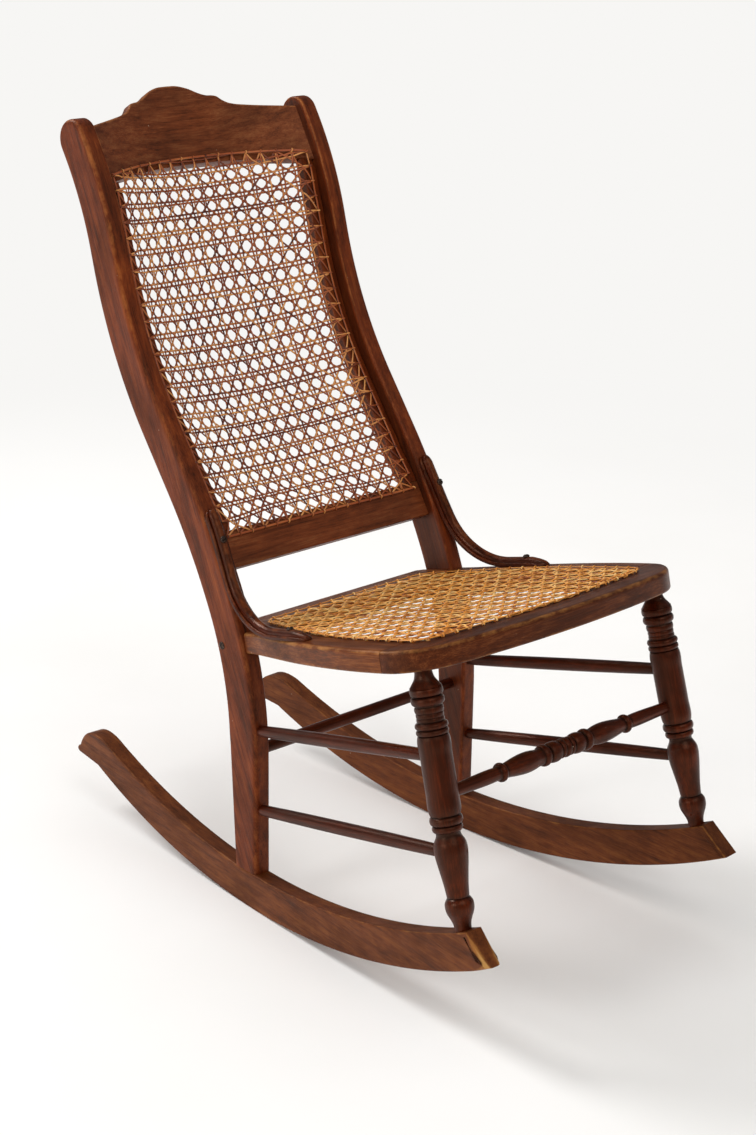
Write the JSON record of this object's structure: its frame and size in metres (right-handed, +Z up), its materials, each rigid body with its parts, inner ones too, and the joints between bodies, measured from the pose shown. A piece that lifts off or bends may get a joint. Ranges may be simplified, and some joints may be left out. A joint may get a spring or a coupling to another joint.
{
  "type": "rocking chair",
  "caption": "Armless wooden rocking chair with woven cane seat and curved cane back, turned front legs and stretchers, hip brackets and sawn rockers",
  "frame": {"origin": "middle of the bounding box at floor level; the line on which the rockers rest lies a little behind it, as mount floor_line says", "axes": "+Z up, -Y towards the front of the chair, +X towards the sitter's left"},
  "size_m": [0.431, 0.7904, 0.8889],
  "materials": {
    "stained_hardwood": "dark red-brown stain under worn shellac, satin",
    "seat_cane": "golden honey varnished rattan cane, satin",
    "back_cane": "older brown varnished rattan cane, satin",
    "screw_steel": "darkened steel, dull"
  },
  "bodies": {
    "root": {"back_cane": "back_cane", "back_cane_binding": "back_cane", "back_post_left": "stained_hardwood", "back_post_right": "stained_hardwood", "cane_stile_left": "stained_hardwood", "cane_stile_right": "stained_hardwood", "crest_rail": "stained_hardwood", "front_leg_left": "stained_hardwood", "front_leg_right": "stained_hardwood", "front_stretcher": "stained_hardwood", "hip_bracket_left": "stained_hardwood", "hip_bracket_right": "stained_hardwood", "lower_back_rail": "stained_hardwood", "rear_stretcher": "stained_hardwood", "rocker_left": "stained_hardwood", "rocker_right": "stained_hardwood", "seat_cane": "seat_cane", "seat_cane_binding": "seat_cane", "seat_front_rail": "stained_hardwood", "seat_rear_rail": "stained_hardwood", "seat_side_rail_left": "stained_hardwood", "seat_side_rail_right": "stained_hardwood", "side_stretcher_lower_left": "stained_hardwood", "side_stretcher_lower_right": "stained_hardwood", "side_stretcher_upper_left": "stained_hardwood", "side_stretcher_upper_right": "stained_hardwood"}
  },
  "joints": []
}
